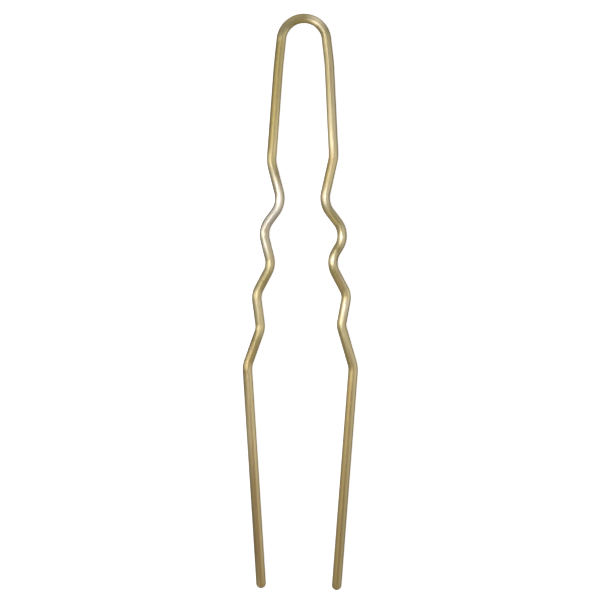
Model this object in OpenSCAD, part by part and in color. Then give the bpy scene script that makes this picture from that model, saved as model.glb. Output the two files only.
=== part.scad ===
// Hairpin bent from one round wire, lying flat.
// +Y points to the head and -Y to the tips. +X points to the right leg. +Z points up.
// The origin is under the middle of the pin's box, on the surface that it lies on.

/* [Wire] */
// Thickness of the round wire
wire_d = 1.25; // [1:0.05:1.4]
// Length over all, from the outside of the head to the end of the right leg
pin_length = 75; // [66:1:90]
// How much shorter the left leg is
left_short = 0.15; // [0:0.05:2]

/* [Head] */
// Radius of the bend at the head, to the middle of the wire
head_r = 2.95; // [2.85:0.05:3.4]

/* [Legs] */
// Distance between the legs at the shoulders, middle of wire to middle of wire
shoulder_width = 8.05; // [8:0.05:8.2]
// Distance between the legs at the knees, middle of wire to middle of wire
knee_width = 13.75; // [13.5:0.25:14.75]
// Distance between the legs at the tips, middle of wire to middle of wire
tip_width = 9.85; // [7:0.05:13]

/* [Crimps] */
// How deep the crimps are pressed in, 1 being their full depth
crimp_depth = 1; // [0.5:0.05:1]

/* [Hidden] */
WIRE_FACETS = 48;
BEND_FACETS = 180;
wire_r = wire_d / 2;

// The bends and the round tips are drawn a hair thinner than the straights, and each bend
// runs a little way into the straights beside it, so that its ends lie inside them.
bend_wire_r = wire_r - 0.005;
bend_lap = 0.1;

// The legs are not quite mirror images. The middle of the knees lies this far to the left
// of the middle of the head, and that of the shoulders a third as far.
knee_shift = 0.075;
shoulder_shift = knee_shift / 3;

// A bend is one row.
// DOWN is its distance below the middle of the wire at the top of the head.
// OUT is the distance of the middle of the wire from the head's middle line, where the
// bend reaches furthest out or in.
// BEND is the radius to the middle of the wire, and is below 0 where the bend bulges inwards.
DOWN = 0;
OUT = 1;
BEND = 2;
left_cheek = [7.9, head_r + 0.4, 19.5];
left_shoulder = [18.3, shoulder_width / 2 + shoulder_shift, 4.6];
left_knee = [45.75, knee_width / 2 + knee_shift, 3.4];
right_cheek = [7.6, head_r + 0.45, 19.5];
right_shoulder = [17.7, shoulder_width / 2 - shoulder_shift, 3.7];
right_knee = [45.75, knee_width / 2 - knee_shift, 3.3];

// The crimps lie between shoulder and knee. In their rows INSET, in the place of OUT, is how
// far the bend lies inside the straight line from the shoulder's bend to the knee's.
INSET = 1;
left_crimps = [
    [23.45, 1.65, -3.2],
    [28.15, 0.2, 3],
    [31.85, 1.35, -2.7],
    [36.45, 0.15, 2.8],
    [40.1, 1, -2.8],
];
right_crimps = [
    [23.3, 1.6, -3.1],
    [28.25, -0.15, 2.9],
    [31.75, 1.35, -2.8],
    [36.3, 0.05, 2.3],
    [39.8, 0.95, -2.2],
];

function line_out(down, shoulder, knee) = shoulder[OUT]
    + (knee[OUT] - shoulder[OUT]) * (down - shoulder[DOWN]) / (knee[DOWN] - shoulder[DOWN]);
function crimp_out(crimp, shoulder, knee) = line_out(crimp[DOWN], shoulder, knee)
    - crimp_depth * crimp[INSET];

// A peg is what a bend is formed round: the x and y of its middle, and its radius to the
// middle of the wire, which is below 0 where the wire turns clockwise round it.
HEAD_PEG = [0, -head_r, -head_r];
function peg(down, out, bend) = [out - bend, -down, -bend];
function tip_peg(shorter) = [tip_width / 2, shorter + 2 * bend_wire_r - pin_length, 0];
function leg_pegs(cheek, shoulder, crimps, knee, shorter) = concat(
    [HEAD_PEG],
    [for (row = [cheek, shoulder]) peg(row[DOWN], row[OUT], row[BEND])],
    [for (row = crimps) peg(row[DOWN], crimp_out(row, shoulder, knee), row[BEND])],
    [peg(knee[DOWN], knee[OUT], knee[BEND])],
    [tip_peg(shorter)]
);

// The straight from one peg to the next touches both: its length, its heading in degrees
// from +X, and the point where it leaves a peg.
function turn_r(peg) = peg[2];
function straight_length(from, to) = sqrt(
    pow(to.x - from.x, 2) + pow(to.y - from.y, 2) - pow(turn_r(to) - turn_r(from), 2)
);
function heading(from, to) = atan2(to.y - from.y, to.x - from.x)
    - atan2(turn_r(to) - turn_r(from), straight_length(from, to));
function leaving(peg, heading) = [
    peg.x + turn_r(peg) * sin(heading),
    peg.y - turn_r(peg) * cos(heading)
];

module straight(from, to) {
    h = heading(from, to);
    translate(leaving(from, h))
        rotate([90, 0, h + 90])
            cylinder(h = straight_length(from, to), r = wire_r, $fn = WIRE_FACETS);
}

module bend(peg, heading_in, heading_out) {
    r = abs(turn_r(peg));
    lap = bend_lap / r * 180 / PI;
    start = min(heading_in, heading_out) - sign(turn_r(peg)) * 90 - lap;
    translate([peg.x, peg.y])
        rotate_extrude(angle = abs(heading_out - heading_in) + 2 * lap, start = start, $fn = BEND_FACETS)
            translate([r, 0]) circle(bend_wire_r, $fn = WIRE_FACETS);
}

module round_tip(from, tip) {
    translate([tip.x, tip.y])
        rotate([90, 0, heading(from, tip) + 90])
            sphere(bend_wire_r, $fn = WIRE_FACETS);
}

module leg(pegs) {
    last = len(pegs) - 1;
    for (i = [0 : last - 1]) straight(pegs[i], pegs[i + 1]);
    for (i = [1 : last - 1]) bend(pegs[i], heading(pegs[i - 1], pegs[i]), heading(pegs[i], pegs[i + 1]));
    round_tip(pegs[last - 1], pegs[last]);
}

module wire() {
    left = leg_pegs(left_cheek, left_shoulder, left_crimps, left_knee, left_short);
    right = leg_pegs(right_cheek, right_shoulder, right_crimps, right_knee, 0);
    color("darkkhaki") translate([knee_shift, pin_length / 2 - bend_wire_r, wire_r]) {
        bend(HEAD_PEG, -heading(HEAD_PEG, left[1]), heading(HEAD_PEG, right[1]));
        leg(right);
        mirror([1, 0]) leg(left);
    }
}

wire();
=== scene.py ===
import math

import bpy
import numpy as np
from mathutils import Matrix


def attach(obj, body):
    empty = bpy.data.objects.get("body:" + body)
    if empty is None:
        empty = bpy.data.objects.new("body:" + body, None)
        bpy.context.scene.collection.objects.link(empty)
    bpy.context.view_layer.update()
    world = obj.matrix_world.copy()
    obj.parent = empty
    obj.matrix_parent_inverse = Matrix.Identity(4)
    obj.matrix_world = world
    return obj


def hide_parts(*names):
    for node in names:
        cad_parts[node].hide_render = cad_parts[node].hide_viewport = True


# A hairpin bent from one round wire, lying flat on a pale floor and seen from straight above.
# +Y points to the head, -Y to the tips, +X to the right leg and +Z up. Everything is in metres.

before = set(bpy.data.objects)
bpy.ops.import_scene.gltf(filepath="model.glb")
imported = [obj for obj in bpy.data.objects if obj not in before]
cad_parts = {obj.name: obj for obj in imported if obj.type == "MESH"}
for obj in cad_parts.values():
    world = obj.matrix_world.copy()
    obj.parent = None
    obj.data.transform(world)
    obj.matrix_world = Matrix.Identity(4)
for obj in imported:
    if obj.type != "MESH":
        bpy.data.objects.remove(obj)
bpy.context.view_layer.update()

MM = 0.001

# The wire and its bends

WIRE_R = 0.625 * MM
BEND_WIRE_R = 0.62 * MM      # of the solid's bends and round tips, which are a hair thinner
PIN_LENGTH = 75 * MM
LEFT_SHORT = 0.15 * MM
HEAD_R = 2.95 * MM
SHOULDER_WIDTH = 8.05 * MM
KNEE_WIDTH = 13.75 * MM
TIP_WIDTH = 9.85 * MM
KNEE_SHIFT = 0.075 * MM
SHOULDER_SHIFT = KNEE_SHIFT / 3

# A bend is one row: how far it lies below the crown, how far out of the head's middle line, and
# its radius to the middle of the wire, which is below 0 where the bend bulges inwards.
DOWN, OUT, BEND = 0, 1, 2
LEFT_CHEEK = np.array([7.9 * MM, HEAD_R + 0.4 * MM, 19.5 * MM])
LEFT_SHOULDER = np.array([18.3 * MM, SHOULDER_WIDTH / 2 + SHOULDER_SHIFT, 4.6 * MM])
LEFT_KNEE = np.array([45.75 * MM, KNEE_WIDTH / 2 + KNEE_SHIFT, 3.4 * MM])
RIGHT_CHEEK = np.array([7.6 * MM, HEAD_R + 0.45 * MM, 19.5 * MM])
RIGHT_SHOULDER = np.array([17.7 * MM, SHOULDER_WIDTH / 2 - SHOULDER_SHIFT, 3.7 * MM])
RIGHT_KNEE = np.array([45.75 * MM, KNEE_WIDTH / 2 - KNEE_SHIFT, 3.3 * MM])

# A crimp's row has, in the place of how far out, how far it lies inside the straight line from
# the shoulder's bend to the knee's.
LEFT_CRIMPS = MM * np.array([
    [23.45, 1.65, -3.2],
    [28.15, 0.2, 3],
    [31.85, 1.35, -2.7],
    [36.45, 0.15, 2.8],
    [40.1, 1, -2.8],
])
RIGHT_CRIMPS = MM * np.array([
    [23.3, 1.6, -3.1],
    [28.25, -0.15, 2.9],
    [31.75, 1.35, -2.8],
    [36.3, 0.05, 2.3],
    [39.8, 0.95, -2.2],
])

# The middle of the wire at the crown
CROWN = np.array([KNEE_SHIFT, PIN_LENGTH / 2 - BEND_WIRE_R, WIRE_R])


def leg_pegs(cheek, shoulder, crimps, knee, shorter):
    """Pegs that a leg is bent round, a row of x, y and turning radius each. A peg's middle is its
    bend's outermost point less the bend's radius, and its turning radius is below 0 where the
    wire turns clockwise."""
    down = crimps[:, DOWN]
    share = (down - shoulder[DOWN]) / (knee[DOWN] - shoulder[DOWN])
    line_out = shoulder[OUT] + share * (knee[OUT] - shoulder[OUT])
    crimp_rows = np.stack([down, line_out - crimps[:, OUT], crimps[:, BEND]], axis=1)
    rows = np.vstack([cheek, shoulder, crimp_rows, knee])
    bends = np.stack([rows[:, OUT] - rows[:, BEND], -rows[:, DOWN], -rows[:, BEND]], axis=1)
    head = [0, -HEAD_R, -HEAD_R]
    tip = [TIP_WIDTH / 2, shorter + 2 * BEND_WIRE_R - PIN_LENGTH, 0]
    return np.vstack([head, bends, tip])


def leg_pieces(pegs):
    """Bends and straights of a leg in order from the crown, as arrays of length, curvature, start
    heading and start point. The straight between two pegs is their common tangent: its length is
    the root of the squared distance less the squared difference of the turning radii."""
    step = np.diff(pegs, axis=0)
    straight = np.sqrt(step[:, 0] ** 2 + step[:, 1] ** 2 - step[:, 2] ** 2)
    heading = np.arctan2(step[:, 1], step[:, 0]) - np.arctan2(step[:, 2], straight)
    heading_in = np.concatenate([[0], heading[:-1]])
    turn = pegs[:-1, 2]
    bend = (heading - heading_in) * turn

    # Each peg gives its bend and then the straight that leaves it
    length = np.stack([bend, straight], axis=1).ravel()
    curvature = np.stack([1 / turn, 0 * turn], axis=1).ravel()
    start_heading = np.stack([heading_in, heading], axis=1).ravel()
    side = np.stack([np.sin(start_heading), -np.cos(start_heading)], axis=1)
    start = np.repeat(pegs[:-1, :2], 2, axis=0) + np.repeat(turn, 2)[:, None] * side
    return length, curvature, start_heading, start


def leg_line(pieces, along):
    """Point, heading and curvature of a leg's middle line at distances along it from the crown.
    On a bend the heading grows by curvature times distance, and the point by the difference of
    the heading's sine and cosine over the curvature."""
    length, curvature, start_heading, start = pieces
    ends = np.cumsum(length)
    piece = np.minimum(np.searchsorted(ends, along), len(length) - 1)
    past = along - (ends - length)[piece]
    bent = curvature[piece]
    first = start_heading[piece]
    heading = first + bent * past
    straight = np.stack([past * np.cos(first), past * np.sin(first)], axis=-1)
    turning = np.stack([np.sin(heading) - np.sin(first), np.cos(first) - np.cos(heading)], axis=-1)
    curved = turning / np.where(bent == 0, 1, bent)[..., None]
    point = start[piece] + np.where((bent == 0)[..., None], straight, curved)
    return point, heading, bent


left_leg = leg_pieces(leg_pegs(LEFT_CHEEK, LEFT_SHOULDER, LEFT_CRIMPS, LEFT_KNEE, LEFT_SHORT))
right_leg = leg_pieces(leg_pegs(RIGHT_CHEEK, RIGHT_SHOULDER, RIGHT_CRIMPS, RIGHT_KNEE, 0))
left_length = left_leg[0].sum()
right_length = right_leg[0].sum()


def wire_line(along):
    """Point, heading and curvature of the whole wire's middle line, from the left tip over the
    crown to the right tip. along is 0 at the crown and below 0 on the left leg, which is worked
    out as a right leg and mirrored in x with its heading reversed."""
    left_point, left_heading, left_bent = leg_line(left_leg, np.maximum(-along, 0))
    right_point, right_heading, right_bent = leg_line(right_leg, np.maximum(along, 0))
    on_left = along < 0
    point = np.where(on_left[:, None], left_point * [-1, 1], right_point)
    heading = np.where(on_left, -left_heading, right_heading)
    return point, heading, np.where(on_left, left_bent, right_bent)


# The wire's surface

SIDES = 44
RING_STEP = 0.13 * MM        # from ring to ring along the wire
TIP_STEPS = 12               # from a leg's last full ring to its pole
TIP_FULLNESS = 2.02          # 2 is a half ball, more is blunter
DIE_FLAT = 0.012 * MM        # depth of the flat that the forming die leaves inside a bend
DIE_FLAT_SPREAD = 0.45       # radians round the wire
FULL_FLAT_BEND = 0.2         # the wire's radius over the bend's, from which the flat is full
BEND_FADE = 0.35 * MM        # how softly a bend's flat begins and ends along the wire


def faded(values, along, fade):
    """Values smoothed along the wire: each is the mean of all, weighted by a bell curve of
    their distance."""
    bell = np.exp(-0.5 * ((along[:, None] - along[None]) / fade) ** 2)
    return bell @ values / bell.sum(axis=1)


def round_tip():
    """How far each ring of a round tip reaches past the leg's end, and its radius as a share of
    the wire's. Over a quarter turn these are the sine and the cosine to the power of 2 over the
    fullness, so the tip's outline is a superellipse."""
    quarter = np.linspace(0, math.pi / 2, TIP_STEPS + 1)[1:-1]
    reach = np.sin(quarter) ** (2 / TIP_FULLNESS) * BEND_WIRE_R
    shrink = np.cos(quarter) ** (2 / TIP_FULLNESS)
    return reach, shrink


def die_flat(bent, angle):
    """Depth of the die's flat, a row for each ring and a column for each angle round the wire. It
    grows with the ring's curvature up to its full depth, and falls off by a bell curve of the
    angle from the bend's inner side."""
    tight = np.abs(bent)[:, None] * WIRE_R
    inner = np.where(bent[:, None] > 0, 0, math.pi)
    off_inner = np.abs((angle - inner + math.pi) % (2 * math.pi) - math.pi)
    bell = np.exp(-(off_inner / DIE_FLAT_SPREAD) ** 2)
    return DIE_FLAT * np.minimum(tight / FULL_FLAT_BEND, 1) * bell


def wire_grid():
    """Points of the wire's surface, rings along the wire by sides round it, its two poles, and
    each point's place in the wire: how far out from the middle line towards the leg's outer side,
    how far up, and how far along. A ring is a circle across the middle line, less the die's flat.
    The rings of the tips follow one another straight on from the legs' ends."""
    count = int(round((left_length + right_length) / RING_STEP)) + 1
    body = np.linspace(-left_length, right_length, count)
    point, heading, bent = wire_line(body)
    bent = faded(bent, body, BEND_FADE)

    reach, shrink = round_tip()
    along = np.concatenate([body[0] - reach[::-1], body, body[-1] + reach])
    size = np.concatenate([shrink[::-1], np.ones(count), shrink])
    heading = np.pad(heading, len(reach), mode="edge")
    bent = np.pad(bent, len(reach), mode="edge")
    ahead = np.stack([np.cos(heading), np.sin(heading)], axis=1)
    before = point[0] - reach[::-1, None] * ahead[0]
    beyond = point[-1] + reach[:, None] * ahead[-1]
    middle = np.vstack([before, point, beyond])

    angle = np.arange(SIDES) * 2 * math.pi / SIDES
    outwards = np.cos(angle) * (WIRE_R - die_flat(bent, angle)) * size[:, None]
    upwards = np.sin(angle) * WIRE_R * size[:, None]
    aside = np.stack([-np.sin(heading), np.cos(heading)], axis=1)
    flat_points = middle[:, None] + outwards[..., None] * aside[:, None]
    grid = np.concatenate([flat_points, upwards[..., None]], axis=2) + CROWN
    poles = np.array([
        [*(point[0] - BEND_WIRE_R * ahead[0]), 0],
        [*(point[-1] + BEND_WIRE_R * ahead[-1]), 0],
    ]) + CROWN
    place = np.stack(np.broadcast_arrays(outwards, upwards, along[:, None]), axis=2)
    pole_place = np.array([[0, 0, body[0] - BEND_WIRE_R], [0, 0, body[-1] + BEND_WIRE_R]])
    return grid, poles, np.vstack([place.reshape(-1, 3), pole_place])


def closed_tube(name, grid, poles):
    """Mesh object of a tube whose last side joins its first, closed at each end by a fan to its
    pole. Vertices run ring by ring, and the two poles come last."""
    rings, sides, _ = grid.shape
    number = np.arange(rings * sides).reshape(rings, sides)
    after = np.roll(number, -1, axis=1)
    quads = np.stack([number[:-1], after[:-1], after[1:], number[1:]], axis=-1).reshape(-1, 4)
    first_pole = rings * sides
    last_pole = first_pole + 1
    start_fan = np.stack([np.full(sides, first_pole), after[0], number[0]], axis=1)
    end_fan = np.stack([np.full(sides, last_pole), number[-1], after[-1]], axis=1)
    mesh = bpy.data.meshes.new(name)
    mesh.from_pydata(
        np.vstack([grid.reshape(-1, 3), poles]).tolist(),
        [],
        quads.tolist() + start_fan.tolist() + end_fan.tolist(),
    )
    mesh.polygons.foreach_set("use_smooth", np.ones(len(mesh.polygons), dtype=bool))
    mesh.update()
    piece = bpy.data.objects.new(name, mesh)
    bpy.context.scene.collection.objects.link(piece)
    return piece


grid, poles, place = wire_grid()
pin = closed_tube("hairpin_wire", grid, poles)

# Painted highlights and shade along each leg, with its wear, a row for each place where they change.
# AT is the distance from the crown in millimetres. OUTER, MIDDLE and INNER are the painted highlight
# of the leg's outer side, top and inner side, which also makes the surface smoother: 0 is dull olive
# gold, 1 bright cream gold. PALE is a whitened painted highlight that partly stands for pale worn
# plating, and COPPER how much copper shows through the finish.

AT, OUTER, MIDDLE, INNER, PALE, COPPER = range(6)
LEFT_LIGHT_AND_WEAR = np.array([
    [0, 0.2, 0.2, 0, 0, 0],            # crown
    [1.5, 0.3, 0.4, 0, 0, 0],
    [3, 0.5, 0.4, 0.6, 0, 0],          # side of the head
    [5, 0, 0, 0.4, 0, 0],              # below the head
    [11, 0, 0, 0.3, 0, 0],             # upper leg
    [18.5, 0, 0.1, 0.7, 0, 0.1],
    [20.5, 0.5, 0.1, 0.4, 0.1, 0],     # shoulder
    [22, 0.4, 0.2, 0, 0.5, 0],
    [24, 0.3, 0.9, 0.5, 0.8, 0],       # just above the first crimp
    [27, 0.9, 1, 0.5, 1, 0],           # first crimp
    [28.5, 1, 0.9, 0.5, 1, 0],
    [30, 0.8, 0, 0.4, 0.9, 0],         # second crimp
    [32, 0.9, 0.4, 0.5, 0.8, 0],
    [34, 0.2, 0.4, 0.4, 0.2, 0],       # third crimp
    [37, 0.4, 0.1, 0, 0, 0],           # above the fourth crimp
    [40, 0.3, 0.5, 0.6, 0.2, 0],       # just below the fourth crimp
    [43, 0.3, 0.3, 0.6, 0, 0],         # fifth crimp
    [45, 0, 0, 0, 0.2, 0],
    [47.5, 0.4, 0, 0, 0, 0.3],         # just above the knee
    [49, 0.1, 0.3, 0.6, 0, 0.3],       # knee
    [57, 0.5, 0.2, 0.7, 0, 0.4],       # lower leg
    [64, 0.2, 0, 0.4, 0, 0.4],
    [73, 0.1, 0, 0.3, 0, 0.5],
    [77, 0.3, 0, 0.2, 0, 0.3],         # tip
])
RIGHT_LIGHT_AND_WEAR = np.array([
    [0, 0.2, 0.2, 0, 0, 0],            # crown
    [1.7, 1, 0.5, 0, 0.5, 0],
    [3.5, 0.3, 0.2, 0.1, 0.2, 0],      # side of the head
    [10, 0.5, 0, 0.1, 0.3, 0],         # upper leg
    [18, 0.5, 0.4, 0.4, 0.3, 0],       # above the shoulder
    [20, 0.7, 0.4, 0, 0, 0.5],         # shoulder
    [23, 0.6, 0.5, 0, 0, 0],
    [25, 0.4, 0.8, 0.1, 0.6, 0],       # first crimp
    [27.5, 0.6, 0, 0, 0, 0],           # between the first two crimps
    [29, 0.6, 0, 0, 0, 0],
    [31, 0.4, 0.8, 0.1, 0.4, 0],       # second crimp
    [32.5, 0.4, 0, 0.2, 0, 0],
    [34, 0.2, 0.8, 0.2, 0.4, 0],       # third crimp
    [35.5, 0.7, 0, 0, 0, 0],
    [37.5, 0.9, 0, 0, 0, 0.6],         # above the fourth crimp
    [39, 0.8, 0.2, 0, 0, 0],           # fourth crimp
    [40.5, 0.6, 0.8, 0, 0.6, 0],
    [42, 0.4, 0.6, 0, 0.3, 0],
    [43.5, 0.5, 0.6, 0.1, 0, 0],       # fifth crimp
    [47, 0.7, 0.2, 0, 0, 0.2],         # above the knee
    [52, 0.6, 0, 0, 0, 0.3],           # below the knee
    [60, 0.5, 0.1, 0, 0, 0],           # lower leg
    [66, 0.4, 0, 0, 0, 0.2],
    [77, 0.3, 0, 0, 0, 0],             # tip
])

# Shares of the wire's radius out from its middle, and the share of its painted highlight that an edge
# keeps, which paints shade along the edges
SIDE_FROM = 0.6
EDGE_FROM = 0.7
EDGE_HIGHLIGHT_KEPT = 0.2


def leg_light_and_wear(table, along, out):
    """Painted highlight, which also smooths the surface, paleness and copper at distances along a leg
    and shares out of its middle, from -1 at the inner side to 1 at the outer one. Each column is read
    along the leg. The middle's highlight goes over to a side's in step with the share, and has
    reached it at SIDE_FROM. From EDGE_FROM out to the wire's edges it falls to EDGE_HIGHLIGHT_KEPT of
    itself, a painted shade along the edges."""
    outer, middle, inner, pale, copper = [
        np.interp(along, table[:, AT], table[:, column])
        for column in (OUTER, MIDDLE, INNER, PALE, COPPER)
    ]
    outer_share = np.clip(out / SIDE_FROM, 0, 1)
    inner_share = np.clip(-out / SIDE_FROM, 0, 1)
    painted_highlight_and_polish = middle + (outer - middle) * outer_share + (inner - middle) * inner_share
    return painted_highlight_and_polish * np.interp(np.abs(out), [EDGE_FROM, 1], [1, EDGE_HIGHLIGHT_KEPT]), pale, copper


def put_places(piece, name, places):
    """Attribute with a place for each vertex."""
    data = piece.data.attributes.new(name, "FLOAT_VECTOR", "POINT").data
    data.foreach_set("vector", places.astype(np.float32).ravel())


def put_values(piece, name, values):
    """Attribute with one value for each vertex."""
    data = piece.data.attributes.new(name, "FLOAT", "POINT").data
    data.foreach_set("value", values.astype(np.float32))


def put_light_and_wear(piece, place):
    """Attributes that the material reads: the place in the wire in millimetres, and the painted
    highlight, paleness and copper of the leg that a vertex lies on."""
    place_mm = place / MM
    put_places(piece, "place_in_wire", place_mm)
    along = place_mm[:, 2]
    out = place[:, 0] / WIRE_R
    left_light_and_wear = leg_light_and_wear(LEFT_LIGHT_AND_WEAR, -along, out)
    right_light_and_wear = leg_light_and_wear(RIGHT_LIGHT_AND_WEAR, along, out)
    for name, left, right in zip(("painted_highlight_and_polish", "pale", "copper"), left_light_and_wear, right_light_and_wear):
        put_values(piece, name, np.where(along < 0, left, right))


UV_WIDTH = 0.999             # share of the map's width that a full turn takes


def put_uv(piece, place):
    """UV map for the direction of the gloss, with U the share of a turn round the wire and V the
    share of its length. It is laid by face corner, so the last side of a ring ends at a full turn
    and not at none."""
    mesh = piece.data
    faces = len(mesh.polygons)
    corner_vertex = np.empty(len(mesh.loops), dtype=np.int32)
    loop_start = np.empty(faces, dtype=np.int32)
    loop_total = np.empty(faces, dtype=np.int32)
    mesh.loops.foreach_get("vertex_index", corner_vertex)
    mesh.polygons.foreach_get("loop_start", loop_start)
    mesh.polygons.foreach_get("loop_total", loop_total)
    face = np.repeat(np.arange(faces), loop_total)

    # A face over the seam has corners a little below a full turn and others at none. Those at none
    # are moved to a full turn.
    turn = (np.arctan2(place[:, 1], place[:, 0]) / (2 * math.pi) % 1)[corner_vertex]
    turn_low = np.minimum.reduceat(turn, loop_start)
    turn_high = np.maximum.reduceat(turn, loop_start)
    crosses = (turn_high - turn_low > 0.5)[face]
    turn = np.where(crosses & (turn < 0.5), turn + 1, turn)

    share = ((place[:, 2] - place[:, 2].min()) / np.ptp(place[:, 2]))[corner_vertex]
    uv = np.stack([turn * UV_WIDTH, share], axis=1)
    layer = mesh.uv_layers.new(name="along_wire")
    layer.data.foreach_set("uv", uv.astype(np.float32).ravel())


put_light_and_wear(pin, place)
put_uv(pin, place)

# Building blocks of the materials


def new_material(name):
    """Empty node material, with its tree and its output node."""
    material = bpy.data.materials.new(name)
    material.use_nodes = True
    tree = material.node_tree
    tree.nodes.clear()
    return material, tree, tree.nodes.new("ShaderNodeOutputMaterial")


def put_node(tree, kind, inputs=None, **settings):
    """Node of a kind, with its settings, and its inputs set to values or joined to sockets."""
    made = tree.nodes.new(kind)
    for name, value in settings.items():
        setattr(made, name, value)
    for name, value in (inputs or {}).items():
        if isinstance(value, bpy.types.NodeSocket):
            tree.links.new(value, made.inputs[name])
        else:
            made.inputs[name].default_value = value
    return made


def attribute(tree, name, socket):
    """Attribute of the piece, read from the given socket of its node."""
    return put_node(tree, "ShaderNodeAttribute", attribute_name=name).outputs[socket]


def maths(tree, operation, first, second=0.0):
    """Result of an operation on one or two values."""
    return put_node(tree, "ShaderNodeMath", {0: first, 1: second}, operation=operation).outputs[0]


def stretched(tree, vector, scale):
    """Vector multiplied by a scale for each axis."""
    inputs = {"Vector": vector, "Scale": scale}
    return put_node(tree, "ShaderNodeMapping", inputs).outputs["Vector"]


def noise(tree, vector, detail, roughness, scale=1.0):
    """Noise value over a vector."""
    return put_node(tree, "ShaderNodeTexNoise", {
        "Vector": vector, "Scale": scale, "Detail": detail, "Roughness": roughness,
    }).outputs["Fac"]


def span(tree, value, read, given=(0.0, 1.0)):
    """Value stretched from the span that is read to the span that is given, and held inside it."""
    return put_node(tree, "ShaderNodeMapRange", {
        "Value": value,
        "From Min": read[0],
        "From Max": read[1],
        "To Min": given[0],
        "To Max": given[1],
    }).outputs["Result"]


# A mix node has sockets for each kind of value. These are the ones that it uses for colours.
MIX_SHARE = 0
MIX_FIRST = 6
MIX_SECOND = 7
MIX_RESULT = 2


def mixed(tree, share, first, second):
    """Colour between two by a share."""
    inputs = {MIX_SHARE: share, MIX_FIRST: first, MIX_SECOND: second}
    return put_node(tree, "ShaderNodeMix", inputs, data_type="RGBA").outputs[MIX_RESULT]


# The pin's champagne gold finish, with painted highlights and shade

OLIVE_GOLD = (0.33, 0.262, 0.085, 1)
TAN_GOLD = (0.27, 0.183, 0.053, 1)
# real tarnish in the streaks and lines, and also the colour of the painted shade on the legs' outer
# sides
TARNISH_AND_SHADE = (0.24, 0.185, 0.075, 1)
# lighter gold painted on the legs' inner sides as painted light
INNER_LIGHT_GOLD = (0.62, 0.515, 0.27, 1)
COPPER_GOLD = (0.37, 0.205, 0.088, 1)
# colour of the painted highlights
CREAM_GOLD = (0.98, 0.85, 0.53, 1)
DULL_PALE = (0.36, 0.31, 0.22, 1)
# whitened painted highlight
BRIGHT_PALE = (1, 0.93, 0.82, 1)
# painted shade on the outer flank of the whitened stretch
SHADED_PALE = (0.2, 0.17, 0.12, 1)

# Drawing lines are noise. FINE_LINES and BROAD_LINES are how often it changes in a millimetre
# outwards, upwards and along the wire.
FINE_LINES = (9, 9, 0.12)
FINE_DETAIL = 3.0
FINE_ROUGHNESS = 0.6
BROAD_LINES = (2.2, 2.2, 0.1)
BROAD_DETAIL = 2.0
BROAD_ROUGHNESS = 0.5
NOISE_SPREAD = (0.3, 0.7)            # most of a noise's values lie in this span
LINE_PEAKS = (0.4, 0.75)             # the fine lines' values over which they grow darker

# Spans in millimetres over which one finish goes over to another. Down is along a leg from the
# crown, and out is from the wire's middle line to the leg's outer side.
TAN_DOWN = (40.0, 60.0)
# painted light on the legs' inner sides sets in over the next two spans
INNER_LIGHT_DOWN = (2.0, 4.0)
INNER_LIGHT_OUT = (0.0, -0.5)
# painted shade on the legs' outer sides sets in over this span
SHADE_OUT = (-0.1, 0.3)
# painted shade on the whitened stretch's outer flank sets in over this span
SHADED_OUT = (0.42, 0.56)

# Shares of another finish at its strongest
STREAK_TARNISH = 0.3
LINE_TARNISH = 0.4
# painted shade of the outer sides and painted light of the inner sides at their strongest
OUTER_SHADE = 0.52
INNER_LIGHT_SHARE = 0.42
STREAKED_HIGHLIGHT = (0.88, 1.12)       # the painted highlight is multiplied by these from streak to streak

# Gloss and surface
DULL_TO_POLISHED = (0.38, 0.34)      # roughness where the highlight share is none and where it is full
LINE_ROUGHNESS = (-0.04, 0.04)       # what the fine lines add to it
LINE_HEIGHT = 0.02 * MM
LINE_STRENGTH = 0.05
DRAWN_GLOSS = 0.9                    # how strongly drawing stretches the gloss round the wire
CLEAR_COAT = 0.3
CLEAR_COAT_ROUGHNESS = 0.2


def dull_gold(tree, broad_lines, out, down, copper):
    """Colour of the dull finish under the painted highlights: olive gold that turns tan on the lower
    legs, with tarnish in streaks and copper showing through. The inner sides of the legs get painted
    light, a lighter gold, and the outer sides painted shade in the tarnish colour."""
    streaks = span(tree, broad_lines, NOISE_SPREAD, (0.0, STREAK_TARNISH))
    outer_shade = span(tree, out, SHADE_OUT, (0.0, OUTER_SHADE))
    inner_light = span(tree, out, INNER_LIGHT_OUT, (0.0, INNER_LIGHT_SHARE))
    below_crown = span(tree, down, INNER_LIGHT_DOWN)
    colour = mixed(tree, span(tree, down, TAN_DOWN), OLIVE_GOLD, TAN_GOLD)
    colour = mixed(tree, streaks, colour, TARNISH_AND_SHADE)
    colour = mixed(tree, copper, colour, COPPER_GOLD)
    # painted shade on the outer side
    colour = mixed(tree, outer_shade, colour, TARNISH_AND_SHADE)
    # painted light on the inner side
    return mixed(tree, maths(tree, "MULTIPLY", inner_light, below_crown), colour, INNER_LIGHT_GOLD)


def pale_highlight_colour(tree, painted_highlight_and_polish, out):
    """Colour where the finish is whitened, a painted white highlight that partly stands for pale worn
    plating. Painted shade darkens the leg's outer flank there.
    """
    colour = mixed(tree, painted_highlight_and_polish, DULL_PALE, BRIGHT_PALE)
    # painted shade on the leg's outer flank
    return mixed(tree, span(tree, out, SHADED_OUT), colour, SHADED_PALE)


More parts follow.
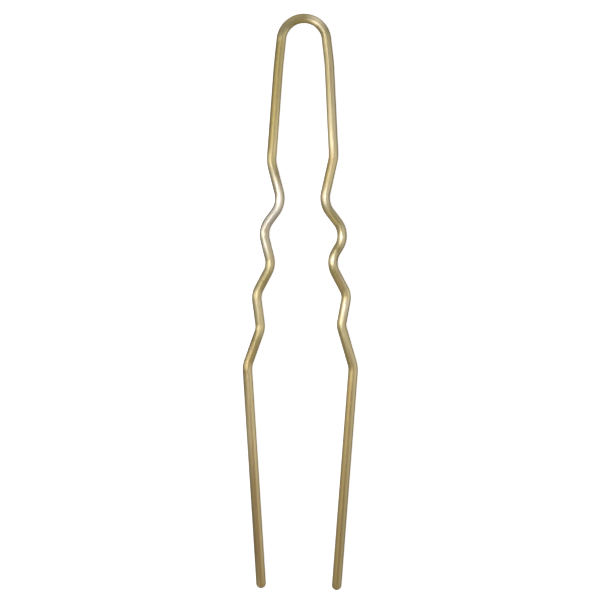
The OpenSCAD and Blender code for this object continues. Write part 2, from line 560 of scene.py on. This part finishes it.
def champagne_gold_with_painted_light():
    """Satin gold finish of the pin, with highlights and shade painted into its colour. Its drawing
    lines are noise that changes fast round the wire and slowly along it. They carry tarnish,
    roughness and bump, and the painted highlight comes and goes along them in streaks. The gloss is
    stretched round the wire, as drawn metal's is."""
    gold, tree, output = new_material("champagne_gold_with_painted_light")
    in_wire = attribute(tree, "place_in_wire", "Vector")
    painted_highlight_and_polish = attribute(tree, "painted_highlight_and_polish", "Fac")
    pale = attribute(tree, "pale", "Fac")
    copper = attribute(tree, "copper", "Fac")
    in_wire_parts = put_node(tree, "ShaderNodeSeparateXYZ", {"Vector": in_wire})
    out = in_wire_parts.outputs["X"]
    down = maths(tree, "ABSOLUTE", in_wire_parts.outputs["Z"])
    fine_lines = noise(tree, stretched(tree, in_wire, FINE_LINES), FINE_DETAIL, FINE_ROUGHNESS)
    broad_lines = noise(tree, stretched(tree, in_wire, BROAD_LINES), BROAD_DETAIL, BROAD_ROUGHNESS)

    # painted highlight, streaked at random along the drawing lines
    streaks = span(tree, broad_lines, NOISE_SPREAD, STREAKED_HIGHLIGHT)
    streaked_highlight = maths(tree, "MULTIPLY", painted_highlight_and_polish, streaks)
    dull = dull_gold(tree, broad_lines, out, down, copper)
    # cream gold mixed in as a painted highlight
    highlighted_gold = mixed(tree, streaked_highlight, dull, CREAM_GOLD)
    # whitened painted highlight, partly pale worn plating
    colour = mixed(tree, pale, highlighted_gold, pale_highlight_colour(tree, streaked_highlight, out))
    colour = mixed(tree, span(tree, fine_lines, LINE_PEAKS, (0.0, LINE_TARNISH)), colour, TARNISH_AND_SHADE)

    even_roughness = span(tree, painted_highlight_and_polish, (0.0, 1.0), DULL_TO_POLISHED)
    line_roughness = span(tree, fine_lines, NOISE_SPREAD, LINE_ROUGHNESS)
    bump = put_node(tree, "ShaderNodeBump", {
        "Height": fine_lines, "Strength": LINE_STRENGTH, "Distance": LINE_HEIGHT,
    })
    tangent = put_node(tree, "ShaderNodeTangent", direction_type="UV_MAP", uv_map="along_wire")
    surface = put_node(tree, "ShaderNodeBsdfPrincipled", {
        "Base Color": colour,
        "Metallic": 1.0,
        "Roughness": maths(tree, "ADD", even_roughness, line_roughness),
        "Anisotropic": DRAWN_GLOSS,
        "Tangent": tangent.outputs["Tangent"],
        "Coat Weight": CLEAR_COAT,
        "Coat Roughness": CLEAR_COAT_ROUGHNESS,
        "Normal": bump.outputs["Normal"],
    })
    tree.links.new(surface.outputs["BSDF"], output.inputs["Surface"])
    return gold


pin.data.materials.append(champagne_gold_with_painted_light())

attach(pin, "root")
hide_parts("wire")

# Floor

FLOOR_HALF = 1.5
FLOOR_DROP = 0.01 * MM               # below the wire, so that their surfaces don't share a plane
FLOOR_TONES = ((0.9, 0.9, 0.9, 1), (0.93, 0.93, 0.93, 1))
FLOOR_IN_GLOSS = (0.45, 0.432, 0.387, 1)
FLOOR_GLOW = 0.6
FLOOR_ROUGHNESS = 0.9
FLOOR_SHINE = 0.1
GRAIN_SCALE = 40.0                   # how often the floor's grain changes in a metre
GRAIN_DETAIL = 2.0
GRAIN_ROUGHNESS = 0.5
WHITE = (1, 1, 1, 1)


def square_floor():
    """Flat square under the pin."""
    mesh = bpy.data.meshes.new("pale_floor")
    corner = np.array([[-1, -1, 0], [1, -1, 0], [1, 1, 0], [-1, 1, 0]]) * FLOOR_HALF
    mesh.from_pydata((corner - [0, 0, FLOOR_DROP]).tolist(), [], [[0, 1, 2, 3]])
    square = bpy.data.objects.new("pale_floor", mesh)
    bpy.context.scene.collection.objects.link(square)
    return square


def pale_floor_finish():
    """Floor's material. To the camera the floor glows a little, as a light table does. In the
    wire's gloss it is darker and warmer."""
    material, tree, output = new_material("pale_floor")
    light_path = tree.nodes.new("ShaderNodeLightPath")
    place = put_node(tree, "ShaderNodeTexCoord").outputs["Object"]
    grain = noise(tree, place, GRAIN_DETAIL, GRAIN_ROUGHNESS, GRAIN_SCALE)
    tone = mixed(tree, grain, *FLOOR_TONES)
    tone = mixed(tree, light_path.outputs["Is Glossy Ray"], tone, FLOOR_IN_GLOSS)
    surface = put_node(tree, "ShaderNodeBsdfPrincipled", {
        "Base Color": tone,
        "Roughness": FLOOR_ROUGHNESS,
        "Specular IOR Level": FLOOR_SHINE,
        "Emission Color": WHITE,
        "Emission Strength": maths(tree, "MULTIPLY", light_path.outputs["Is Camera Ray"], FLOOR_GLOW),
    })
    tree.links.new(surface.outputs["BSDF"], output.inputs["Surface"])
    return material


floor = square_floor()
floor.data.materials.append(pale_floor_finish())

# Light

FAR = 0.7                            # from the middle of the pin to a lamp
CLOSE = 0.2
WARM_LIGHT = (1, 0.97, 0.84)


def aim(lamp, azimuth, tilt, distance):
    """Places a lamp at an azimuth from +X and a tilt from straight up, turned to face the pin."""
    turn = math.radians(azimuth)
    lean = math.radians(tilt)
    way = np.array([math.cos(turn) * math.sin(lean), math.sin(turn) * math.sin(lean), math.cos(lean)])
    lamp.location = way * distance
    lamp.rotation_euler = (0, lean, turn)


def softbox(name, azimuth, tilt, width, length, glow, distance=FAR, colour=(1, 1, 1)):
    """Area light whose brightness is its glow, whatever its size. Its width is across the tilt and
    its length along it."""
    light = bpy.data.lights.new(name, "AREA")
    light.shape = "RECTANGLE"
    light.size = length
    light.size_y = width
    light.energy = glow * math.pi * width * length
    light.color = colour
    lamp = bpy.data.objects.new(name, light)
    lamp.visible_camera = False
    bpy.context.scene.collection.objects.link(lamp)
    aim(lamp, azimuth, tilt, distance)


# Two strips light the whole pin, from the left and from the tips' side, and two small ones that
# hang close give the crimps their highlights. A weak warm light from the right keeps that side of
# the wire golden.
softbox("left_strip", azimuth=173, tilt=42, width=0.17, length=0.95, glow=1.7)
softbox("near_strip", azimuth=233, tilt=28, width=0.16, length=0.4, glow=4.0)
softbox("crimp_strip", azimuth=172, tilt=18, width=0.025, length=0.07, glow=6.5, distance=CLOSE)
softbox("left_crimp_strip", azimuth=146, tilt=22, width=0.025, length=0.06, glow=4.3, distance=CLOSE)
softbox("right_fill", azimuth=0, tilt=60, width=0.6, length=0.6, glow=0.6, colour=WARM_LIGHT)

# Tones of the room low down, high up and towards the pin's ends. UPWARD and ENDWARD are the parts
# of a direction that point up, and along the pin, while one tone goes over to the next.
LOW_ROOM = (0.42, 0.41, 0.39, 1)
HIGH_ROOM = (0.37, 0.365, 0.355, 1)
END_ROOM = (1.1, 1.07, 1.02, 1)
UPWARD = (0.0, 0.8)
ENDWARD = (0.5, 0.85)


def soft_room():
    """Pale room round the pin. It is brighter towards both ends of the pin, so that the low side
    views show gold too, and white where the camera sees it."""
    world = bpy.data.worlds.new("soft_room")
    world.use_nodes = True
    tree = world.node_tree
    tree.nodes.clear()
    light_path = tree.nodes.new("ShaderNodeLightPath")
    direction = put_node(tree, "ShaderNodeTexCoord").outputs["Generated"]
    way = put_node(tree, "ShaderNodeSeparateXYZ", {"Vector": direction})
    along_pin = maths(tree, "ABSOLUTE", way.outputs["Y"])
    room = mixed(tree, span(tree, way.outputs["Z"], UPWARD), LOW_ROOM, HIGH_ROOM)
    room = mixed(tree, span(tree, along_pin, ENDWARD), room, END_ROOM)
    room = mixed(tree, light_path.outputs["Is Camera Ray"], room, WHITE)
    background = put_node(tree, "ShaderNodeBackground", {"Color": room})
    output = tree.nodes.new("ShaderNodeOutputWorld")
    tree.links.new(background.outputs["Background"], output.inputs["Surface"])
    return world


bpy.context.scene.world = soft_room()

# Camera: straight above, with the pin turned a little clockwise in the picture

VIEW_SPAN = 78.125 * MM
VIEW_CENTRE = np.array([-0.116 * MM, 0.218 * MM, WIRE_R])
VIEW_DISTANCE = 0.5
VIEW_ROLL = 0.53                     # degrees
NEAREST_SEEN = 0.01
FARTHEST_SEEN = 10

camera_data = bpy.data.cameras.new("camera")
camera_data.lens = camera_data.sensor_width * VIEW_DISTANCE / VIEW_SPAN
camera_data.clip_start = NEAREST_SEEN
camera_data.clip_end = FARTHEST_SEEN
camera = bpy.data.objects.new("camera", camera_data)
camera.location = VIEW_CENTRE + [0, 0, VIEW_DISTANCE]
camera.rotation_euler = (0, 0, math.radians(VIEW_ROLL))
bpy.context.scene.collection.objects.link(camera)
bpy.context.scene.camera = camera

# The standard view leaves the floor white
bpy.context.scene.view_settings.view_transform = "Standard"
